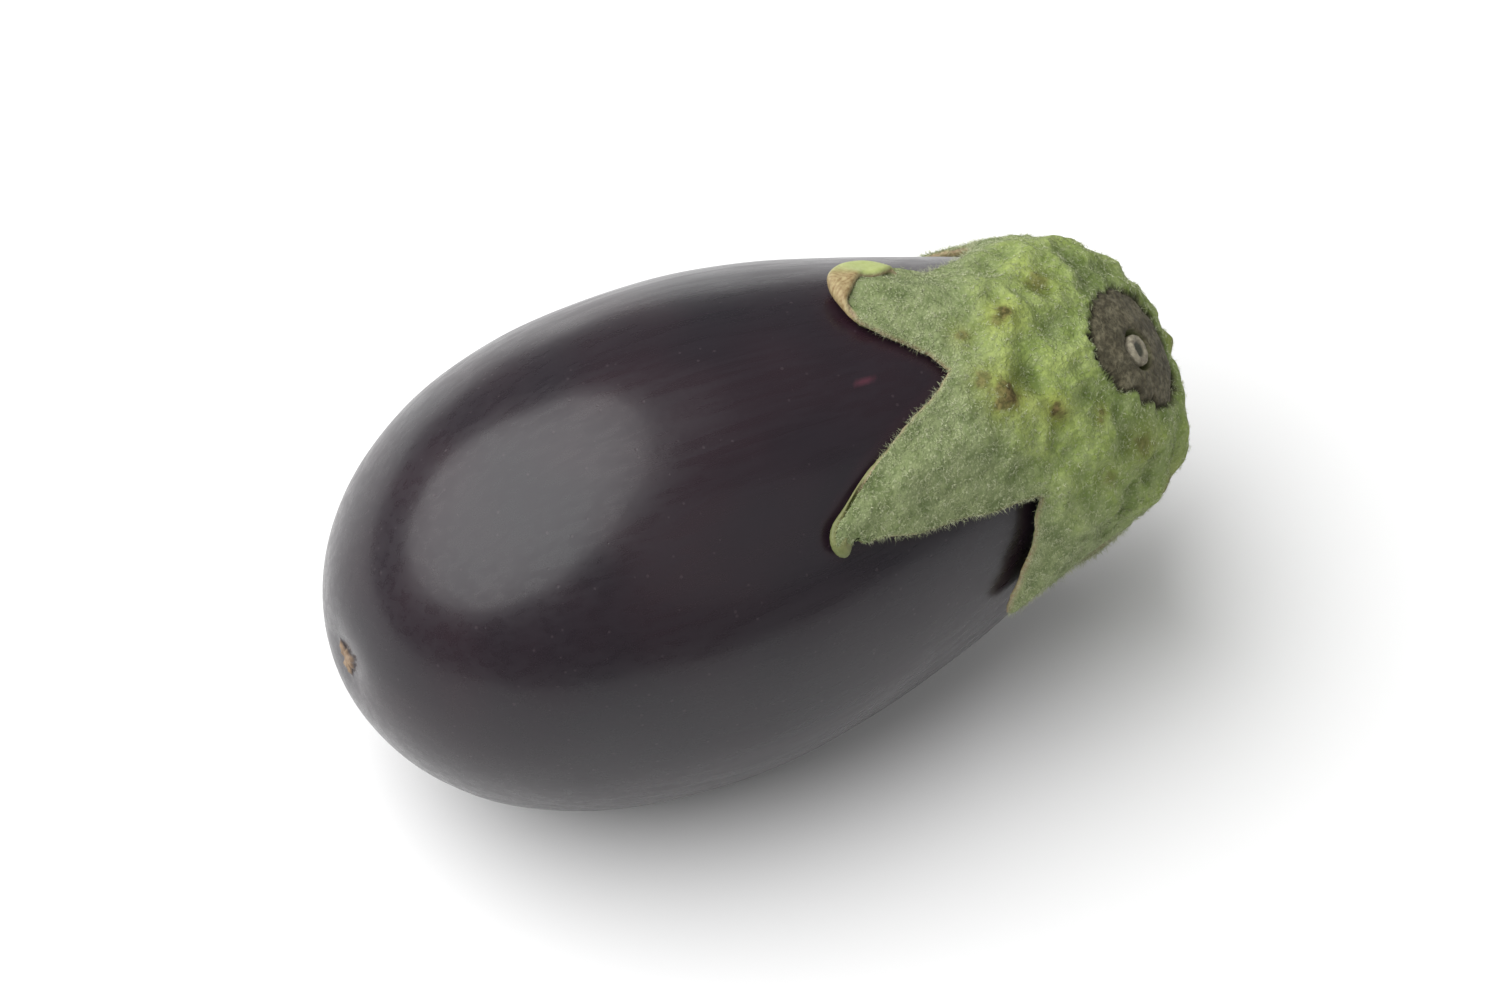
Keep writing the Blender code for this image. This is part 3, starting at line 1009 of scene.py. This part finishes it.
# painted light: the crests of the relief are painted a paler yellow green in the bright middle
crest_light = ranged(tree, masked(tree, "hump"), 0.60, 1.0, 0.0, 0.55)
green = blended(tree, times(tree, crest_light, bright_minus_shade_mask), green, CREST_LIGHT_GREEN)
green = blended(tree, times(tree, small, 0.45), green, GRAIN_GREEN)
print("the cap's green takes", len(tree.nodes), "nodes")

# %% [markdown]
# ## Felt and rim
#
# Between the modelled hairs lies finer felt. It is painted: pale woolly clouds and pale dots, thinner over
# the bright middle, where fewer hairs grow. The very edge of each lobe dries to a pinkish tan.

# %% Felt and rim
WOOLLY_GREY = (0.390, 0.440, 0.230)
DOT_GREY = (0.470, 0.520, 0.300)
RIM_PINK = (0.36, 0.22, 0.16)
RIM_TAN = (0.46, 0.36, 0.22)

woolly = grouped(tree, mottle, Place=place, Size=1100.0, Detail=3.0, Contrast=0.12).outputs[0]
felt_dots = grouped(tree, specks, Place=place, Size=5200.0, Width=0.62, Share=0.7).outputs[0]
thin = ranged(tree, bright_minus_shade_mask, 0.0, 1.0, 1.0, 0.45)
green = blended(tree, times(tree, times(tree, woolly, 0.28), thin), green, WOOLLY_GREY)
green = blended(tree, times(tree, times(tree, felt_dots, 0.35), thin), green, DOT_GREY)
edge_tan = blended(tree, small, RIM_PINK, RIM_TAN)
green = blended(tree, times(tree, masked(tree, "rim"), 0.75), green, edge_tan)
print("with felt and rim the cap has", len(tree.nodes), "nodes")

# %% [markdown]
# ## The smooth inside
#
# Where a margin is rolled in, the inside shows. It has no hairs, and it is pale green with faint veins, tan
# where it has dried at the tip, and dark olive on the hook and on part of the rolled tip, which is painted
# shade. The veins follow the lobe, because they read the mesh's own rows under the name lay.

# %% The smooth inside
INSIDE_DARK = (0.35, 0.41, 0.13)
INSIDE_LIGHT = (0.44, 0.49, 0.20)
SHADED_OLIVE_DARK = (0.080, 0.098, 0.030)
SHADED_OLIVE_PALE = (0.165, 0.185, 0.072)
TAN_DARK = (0.19, 0.118, 0.046)
TAN_LIGHT = (0.42, 0.345, 0.180)

lay = node(tree, "Attribute", {"attribute_name": "lay"}).outputs["Vector"]
veins = grouped(tree, fibres, Place=lay, Stretch=(0.12, 1.6, 1.0), Detail=4.0).outputs[0]
soft_veins = blended(tree, 0.45, veins, small)
inner = blended(tree, soft_veins, INSIDE_DARK, INSIDE_LIGHT)
# painted shade: the olive mask darkens the inside of the hook and part of the rolled tip
inner = blended(tree, masked(tree, "olive_shade"), inner, blended(tree, soft_veins, SHADED_OLIVE_DARK, SHADED_OLIVE_PALE))
inner = blended(tree, masked(tree, "tip"), inner, blended(tree, soft_veins, TAN_DARK, TAN_LIGHT))
green = blended(tree, masked(tree, "bare"), green, inner)
print("with its inside the cap has", len(tree.nodes), "nodes")

# %% [markdown]
# ## Scabs and cork
#
# Scabs are olive brown in a yellowish halo. Cork is grey brown, blotched, with dark grain and a nearly black
# crack round it. They come last, since they lie over everything green.

# %% Scabs and cork
HALO_YELLOW = (0.225, 0.235, 0.028)
SCAB_DARK = (0.040, 0.031, 0.007)
SCAB_LIGHT = (0.165, 0.128, 0.046)
CORK_DARK = (0.070, 0.062, 0.038)
CORK_LIGHT = (0.170, 0.150, 0.094)
CORK_BLOTCH = (0.225, 0.206, 0.132)
CORK_GRAIN = (0.034, 0.029, 0.015)
CRACK_BLACK = (0.018, 0.014, 0.007)

green = blended(tree, times(tree, masked(tree, "halo"), 0.55), green, HALO_YELLOW)
green = blended(tree, masked(tree, "scab"), green, blended(tree, small, SCAB_DARK, SCAB_LIGHT))
bark = blended(tree, patches, CORK_DARK, CORK_LIGHT)
bark = blended(tree, times(tree, woolly, 0.5), bark, CORK_BLOTCH)
bark = blended(tree, times(tree, small, 0.7), bark, CORK_GRAIN)
green = blended(tree, masked(tree, "cork"), green, bark)
green = blended(tree, times(tree, masked(tree, "crack"), 0.95), green, CRACK_BLACK)
tree.links.new(green, shader.inputs["Base Color"])
print("with scabs and cork the cap has", len(tree.nodes), "nodes")

# %% [markdown]
# ## Dull felt, smooth inside
#
# Felt scatters light, so the cap is dull, and its bare inside is a little glossier. A bump from the dots and
# the fine mottle stands for hairs that are too small to model, and it nearly vanishes on the inside.

# %% Dull felt, smooth inside
bare_mask = masked(tree, "bare")
tree.links.new(ranged(tree, bare_mask, 0.0, 1.0, 0.86, 0.50), shader.inputs["Roughness"])
shader.inputs["Specular IOR Level"].default_value = 0.35
pile = maths(tree, "ADD", times(tree, felt_dots, 0.6), small)
pile = times(tree, pile, ranged(tree, bare_mask, 0.0, 1.0, 1.0, 0.15))
bump = node(tree, "Bump", Strength=0.7, Distance=0.08 * MM, Height=pile)
tree.links.new(bump.outputs[0], shader.inputs["Normal"])
print("the whole cap finish has", len(tree.nodes), "nodes")

# %% [markdown]
# ## Masks of the cap
#
# The masks come from the layout: distance to the edge for the rim, reach and turn for the bright middle and
# the felted lobes, the side of the cap for the bare inside. The bright middle is also dimmed on its far side,
# by turn, which is painted shade. Painting them by hand would do, but they would have to be painted again
# whenever the outline moves.

# %% Masks of the cap
TIP_LOBE = 0
RIM_WIDTH = 0.11 * MM
UPPER_MASKS = {"scab": scab, "halo": halo, "cork": cork, "crack": crack}

rim = bell(to_edge, RIM_WIDTH) * smooth_step(20, 34, reach_of)
bright_minus_shade = smooth_step(46, 30, reach_of) * smooth_step(9, 16, reach_of)
bright_minus_shade *= 0.55 + 0.45 * np.clip(lumps(laid, 3 * MM, 14) + lump_height / (0.3 * MM), 0, 1)
# painted shade: the bright middle is dulled on the far side, from about turn 22 to 175
bright_minus_shade *= 1 - 0.45 * smooth_step(22, 50, turn_of) * smooth_step(175, 130, turn_of)
felt = smooth_step(26, 44, reach_of) * 0.85 + 0.1
bare = np.where(is_upper, 0.0, 1.0)
tanned = smooth_step(-60, -53, turn_of) * smooth_step(0, 0.4 * MM, rolled_in)
tip = smooth_step(0.86, 1.0, share_of) * smooth_step(40, 50, reach_of)
tip = np.where(lobe_of == TIP_LOBE, tanned, tip)
tip = np.where(lobe_of == HOOK_LOBE, 0.2 * tip, tip)
# painted shade: dark olive on the hook and on part of the first lobe's rolled margin
olive_shade = 0.40 * smooth_step(-53, -42, turn_of) * (lobe_of == TIP_LOBE)
olive_shade = np.where(lobe_of == HOOK_LOBE, 0.9, olive_shade)
masks = {"rim": rim, "bright_minus_shade": bright_minus_shade, "felt": felt, "tip": tip, "olive_shade": olive_shade, "bare": bare}
masks["hump"] = np.where(is_upper, hump, 0.5)
for name, values in UPPER_MASKS.items():
    masks[name] = np.where(is_upper, values, 0)
print("masks of the cap:", sorted(masks))

# %% [markdown]
# ## Making the cap
#
# The rings run from the stalk over the upper side to the edge, and back along the inside. Joining the last
# ring to the first closes the mesh round the stalk's opening. The rows for the veins hold reach, distance
# from the midrib with a little wobble, and the lobe's number, so that each lobe has veins of its own.

# %% Make the cap
VEIN_WOBBLE = 0.9 * MM

first_ring = np.arange(COLUMNS)
final_ring = first_ring + (rings - 1) * COLUMNS
closing = np.stack([final_ring, np.roll(final_ring, -1), np.roll(first_ring, -1), first_ring], -1)
faces = ring_faces(rings, COLUMNS) + [tuple(face) for face in closing.tolist()]
cap = piece("calyx_cap", cap_points, flipped(faces), cap_look, masks)
across_lobe = (to_midrib * 3 + rolled_in * 1.5) / MM + 0.5 * lumps(cap_points, VEIN_WOBBLE, 24)
add_rows(cap, "lay", np.c_[reach_of, across_lobe, lobe_of * 7.0])
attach(cap, "root")
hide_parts("calyx")

# %% [markdown]
# ## The cut stalk's finish
#
# The stalk was clipped off close to the cap. What is left is a low stub: a pale ring of bark and wood round
# a sunken greenish pith. Its finish is fine grain with dark vessels, and the pith has its own mask.

# %% Stalk finish
WOOD_DARK = (0.17, 0.15, 0.105)
WOOD_LIGHT = (0.34, 0.31, 0.23)
PITH_GREEN = (0.060, 0.062, 0.042)
VESSEL_BROWN = (0.05, 0.04, 0.025)

stalk_look, tree, shader = new_look("cut_stalk")
place = node(tree, "TexCoord").outputs["Object"]
grain = grouped(tree, fibres, Place=place, Stretch=(2500.0, 2500.0, 2500.0), Detail=3.0).outputs[0]
vessels = grouped(tree, specks, Place=place, Size=7000.0, Width=0.4, Share=0.5).outputs[0]
wood = blended(tree, grain, WOOD_DARK, WOOD_LIGHT)
wood = blended(tree, masked(tree, "pith"), wood, PITH_GREEN)
wood = blended(tree, times(tree, vessels, 0.5), wood, VESSEL_BROWN)
tree.links.new(wood, shader.inputs["Base Color"])
tree.links.new(ranged(tree, grain, 0.0, 1.0, 0.7, 0.9), shader.inputs["Roughness"])
bump = node(tree, "Bump", Strength=0.6, Distance=0.06 * MM, Height=grain)
tree.links.new(bump.outputs[0], shader.inputs["Normal"])
print("the stalk's finish has", len(tree.nodes), "nodes")

# %% [markdown]
# ## The cut stalk
#
# The stub is turned from a profile like a little dish, as the Screw modifier would do. Computing the rings
# instead lets the rim rise on one side and the top be roughened, because a real cut is never clean.

# %% Turn the stalk
STALK_COLUMNS = 96
RIM_RADIUS = 0.80 * MM
RIM_SPREAD = 0.26 * MM
RIM_LEAN = 0.10 * MM
LEAN_WAY = np.array([0.94, 0.34])  # the side on which the rim stands higher
ROUGH_ABOVE = 1.3 * MM
# (radius, height) in mm, from the middle of the pith over the ring and down into the cap
PROFILE = [(0.0, 1.62), (0.15, 1.62), (0.30, 1.63), (0.44, 1.66), (0.53, 1.72), (0.61, 1.80), (0.70, 1.85),
           (0.80, 1.87), (0.90, 1.84), (0.99, 1.77), (1.06, 1.66), (1.09, 1.45), (1.08, 0.9), (1.0, 0.4),
           (0.6, 0.32), (0.0, 0.30)]
stops = np.array(PROFILE) * MM
half_steps = np.arange(2 * len(stops) - 1) / 2
profile = np.stack([np.interp(half_steps, np.arange(len(stops)), stops[:, axis]) for axis in range(2)], -1)
turns = np.arange(STALK_COLUMNS) * 2 * math.pi / STALK_COLUMNS
radius_grid, turn_grid = np.meshgrid(profile[1:-1, 0], turns, indexing="ij")
height_grid = np.repeat(profile[1:-1, 1:], STALK_COLUMNS, 1)
spots = np.stack([radius_grid * np.cos(turn_grid), radius_grid * np.sin(turn_grid), height_grid], -1)
spots = spots.reshape(-1, 3)
on_rim = bell(np.hypot(spots[:, 0], spots[:, 1]) - RIM_RADIUS, RIM_SPREAD)
lean = spots[:, :2] @ LEAN_WAY / MM
rough = 0.05 * MM * lumps(spots, 0.35 * MM, 21) + 0.02 * MM * lumps(spots, 0.12 * MM, 22)
spots[:, 2] += np.where(spots[:, 2] > ROUGH_ABOVE, rough + on_rim * RIM_LEAN * lean, 0)
spots = np.vstack([spots, [[0, 0, profile[0, 1]], [0, 0, profile[-1, 1]]]])
print("the stalk is", round(float(2 * profile[:, 0].max() / MM), 1), "mm across")

# %% [markdown]
# ## Standing the stalk in the cap
#
# The stub stands on the berry in the middle of the cap, square to the skin there. Three directions place
# it: up along the skin's normal, towards the blossom end, and to the side.

# %% Stand the stalk in the cap
cap_foot = skin(CAP_AXIS[None])[0]
cap_normal = outward(CAP_AXIS[None])[0]
toward_blossom = unit((-ALONG + cap_normal * cap_normal[0])[None])[0]
stalk_way = np.stack([toward_blossom, np.cross(cap_normal, toward_blossom), cap_normal])
stalk_points = cap_foot + spots @ stalk_way
top_tip, foot_tip = len(spots) - 2, len(spots) - 1
faces = ring_faces(len(profile) - 2, STALK_COLUMNS) + fan(top_tip, 0, STALK_COLUMNS)
faces += flipped(fan(foot_tip, top_tip - STALK_COLUMNS, STALK_COLUMNS))
pith = 1 - smooth_step(0.40 * MM, 0.62 * MM, np.hypot(spots[:, 0], spots[:, 1]))
stalk = piece("stalk_cut", stalk_points, faces, stalk_look, {"pith": pith})
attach(stalk, "root")
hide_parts("stem_stub")

# %% [markdown]
# ## Sowing the wool
#
# Under a lens the grey felt is a mat of star hairs, each a few stiff rays from one foot, with longer single
# hairs standing out along the edges. Particle hair would be lost on export, so each ray becomes a tiny
# closed spike in one mesh. First their feet are sown over the faces of the cap by chance, weighted by area,
# and thinner in the middle than on the lobes. The cork and the rolled inside stay bare, and the scabs nearly.

# %% Sow the feet of the hairs
STARS = 7600
RAYS = 5
EDGE_HAIRS = 4200
HAIRY_EDGE = 0.35 * MM


def face_values(name, kind=float, width=1):
    """One value, or a row of them, per face of the cap."""
    values = np.zeros(len(cap.data.polygons) * width, kind)
    cap.data.polygons.foreach_get(name, values)
    return values.reshape(-1, width) if width > 1 else values


centres = face_values("center", width=3)
facing = face_values("normal", width=3)
loop_points = np.zeros(len(cap.data.loops), np.int32)
cap.data.loops.foreach_get("vertex_index", loop_points)
corner = loop_points[face_values("loop_start", np.int32)]
hairy = (1 - bare[corner]) * (1 - cork[corner]) * (1 - 0.9 * scab[corner]) * is_upper[corner]
hairy *= face_values("area") * (rolled_in[corner] < 0.3 * MM)
weights = hairy * (0.35 + 0.65 * felt[corner])
star_faces = rng.choice(len(corner), STARS, p=weights / weights.sum())
edge_weights = hairy * bell(to_edge[corner], HAIRY_EDGE)
edge_faces = rng.choice(len(corner), EDGE_HAIRS, p=edge_weights / edge_weights.sum())
print("sown", STARS, "stars and", EDGE_HAIRS, "edge hairs")

# %% [markdown]
# ## The spikes' ways and lengths
#
# The rays of a star lie nearly flat and point every way. A random direction is laid into the surface and
# then tilted up a little. The edge hairs stand out from the surface at their foot, ruffled at random.

# %% Ways and lengths of the hairs
star_feet = np.repeat(centres[star_faces] + rng.normal(0, 0.05 * MM, (STARS, 3)), RAYS, 0)
star_up = np.repeat(facing[star_faces], RAYS, 0)
wild = unit(rng.normal(size=(STARS * RAYS, 3)))
flat_way = unit(wild - star_up * (wild * star_up).sum(1)[:, None])
star_ways = unit(flat_way + star_up * rng.uniform(0.15, 1.1, (STARS * RAYS, 1)))
star_lengths = rng.uniform(0.16, 0.34, STARS * RAYS) * MM
star_widths = rng.uniform(0.022, 0.034, STARS * RAYS) * MM

edge_feet = centres[edge_faces] + rng.normal(0, 0.06 * MM, (EDGE_HAIRS, 3))
edge_ways = unit(facing[edge_faces] + 0.65 * rng.normal(size=(EDGE_HAIRS, 3)))
edge_lengths = rng.uniform(0.25, 0.60, EDGE_HAIRS) * MM
edge_widths = rng.uniform(0.022, 0.032, EDGE_HAIRS) * MM
print("hairs are", round(star_lengths.min() / MM, 2), "to", round(edge_lengths.max() / MM, 2), "mm long")

# %% [markdown]
# ## Growing the wool
#
# A spike is a triangle at the foot and one point at the tip: four faces, closed, and cheap enough for tens
# of thousands. The feet of the stars are sunk a little into the cap, so that their rays rise from inside it.

# %% Grow the wool
HAIR_DARK = (0.38, 0.43, 0.23)
HAIR_LIGHT = (0.66, 0.69, 0.46)
FOOT_DEPTH = 0.02 * MM


def spikes(feet, ways, lengths, widths):
    """Points and faces of closed three-sided spikes."""
    helper = np.where(np.abs(ways[:, 2:]) > 0.9, [[1.0, 0, 0]], [[0, 0, 1.0]])
    side = unit(np.cross(ways, helper))
    other = np.cross(ways, side)
    around = [0, 2 * math.pi / 3, 4 * math.pi / 3]
    foot_ring = [feet + (side * math.cos(a) + other * math.sin(a)) * widths[:, None] / 2 for a in around]
    points = np.stack([*foot_ring, feet + ways * lengths[:, None]], 1).reshape(-1, 3)
    start = np.arange(len(feet))[:, None] * 4
    faces = np.concatenate([start + [0, 1, 3], start + [1, 2, 3], start + [2, 0, 3], start + [0, 2, 1]])
    return points, faces


wool_look, tree, shader = new_look("calyx_wool")
place = node(tree, "TexCoord").outputs["Object"]
tufts = grouped(tree, mottle, Place=place, Size=900.0, Detail=3.0, Contrast=0.22).outputs[0]
tree.links.new(blended(tree, tufts, HAIR_DARK, HAIR_LIGHT), shader.inputs["Base Color"])
shader.inputs["Roughness"].default_value = 0.8
feet = np.vstack([star_feet - star_up * FOOT_DEPTH, edge_feet])
ways = np.vstack([star_ways, edge_ways])
lengths = np.r_[star_lengths, edge_lengths]
widths = np.r_[star_widths, edge_widths]
wool_points, wool_faces = spikes(feet, ways, lengths, widths)
wool = piece("calyx_wool", wool_points, wool_faces.tolist(), wool_look, {})
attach(wool, "root")

# %% [markdown]
# ## The floor
#
# The aubergine lies on a pale paper-white floor. It is one flat face, just large enough to catch the shadow
# and the light round it, and its tone wanders so slightly that it still looks plain.

# %% Floor
FLOOR_HALF = 0.5
PAPER_DARK = (0.86, 0.86, 0.86)
PAPER_LIGHT = (0.89, 0.89, 0.89)

floor_look, tree, shader = new_look("studio_floor")
place = node(tree, "TexCoord").outputs["Object"]
tone = grouped(tree, mottle, Place=place, Size=6.0, Detail=2.0, Contrast=0.4).outputs[0]
tree.links.new(blended(tree, tone, PAPER_DARK, PAPER_LIGHT), shader.inputs["Base Color"])
shader.inputs["Roughness"].default_value = 0.8
shader.inputs["Specular IOR Level"].default_value = 0.2
floor_mesh = bpy.data.meshes.new("floor")
floor_corners = [(x * FLOOR_HALF, y * FLOOR_HALF, 0) for x, y in ((-1, -1), (1, -1), (1, 1), (-1, 1))]
floor_mesh.from_pydata(floor_corners, [], [(0, 1, 2, 3)])
floor_mesh.materials.append(floor_look)
floor = bpy.data.objects.new("floor", floor_mesh)
bpy.context.scene.collection.objects.link(floor)
print("the floor is", 2 * FLOOR_HALF, "m wide")

# %% [markdown]
# ## The lights
#
# One very large soft light hangs overhead, behind and to the left, as a light tent does over small goods. It
# makes the broad highlight along the berry. A weak one fills the front. Both are ovals, so that their
# reflections in the skin have no corners. The pale room lights the rest, and where the camera sees it past
# the floor it is as white as the floor.

# %% Lights
ROOM_LIGHT = 0.30
PAPER_WHITE = 1.0
centre = (Vector(solid_box[0]) + Vector(solid_box[1])) / 2


def way_to(azimuth, elevation):
    """The direction from the aubergine to a place round it: azimuth 0 is the front, -Y."""
    a, e = math.radians(azimuth), math.radians(elevation)
    return Vector((math.sin(a) * math.cos(e), -math.cos(a) * math.cos(e), math.sin(e)))


def aimed(name, data, way, distance):
    """A lamp or camera at a distance along a way, looking at the middle of the aubergine."""
    made = bpy.data.objects.new(name, data)
    made.location = centre + way * distance
    made.rotation_euler = way.to_track_quat("Z", "Y").to_euler()
    bpy.context.scene.collection.objects.link(made)
    print(name, "stands", distance, "m away")
    return made


def soft_light(name, way, distance, width, depth, watts):
    """An oval area light that faces the aubergine."""
    light = bpy.data.lights.new(name, "AREA")
    light.shape = "ELLIPSE"
    light.size = width
    light.size_y = depth
    light.energy = watts
    return aimed(name, light, way, distance)


soft_light("overhead_softbox", way_to(-118, 58), 0.75, 1.35, 1.15, 12.5)
soft_light("front_fill", way_to(20, 40), 0.9, 0.8, 0.8, 0.5)
world = bpy.data.worlds.new("pale_room")
world.use_nodes = True
seen = world.node_tree.nodes.new("ShaderNodeLightPath").outputs["Is Camera Ray"]
room_tone = ranged(world.node_tree, seen, 0, 1, ROOM_LIGHT, PAPER_WHITE)
backdrop = world.node_tree.nodes["Background"]
backdrop.inputs["Color"].default_value = (1, 1, 1, 1)
world.node_tree.links.new(room_tone, backdrop.inputs["Strength"])
bpy.context.scene.world = world
bpy.context.scene.view_settings.view_transform = "Standard"

# %% [markdown]
# ## The camera
#
# The camera looks down steeply from the front left. A short lens close by would swell the near end, so it
# stands back with a long lens, and the berry keeps its proportions.

# %% Camera
CAMERA_DISTANCE = 0.67
CAMERA_LENS = 245

camera_data = bpy.data.cameras.new("camera")
camera_data.lens = CAMERA_LENS
camera_data.clip_start = 0.01
camera = aimed("camera", camera_data, way_to(-27, 54), CAMERA_DISTANCE)
bpy.context.scene.camera = camera
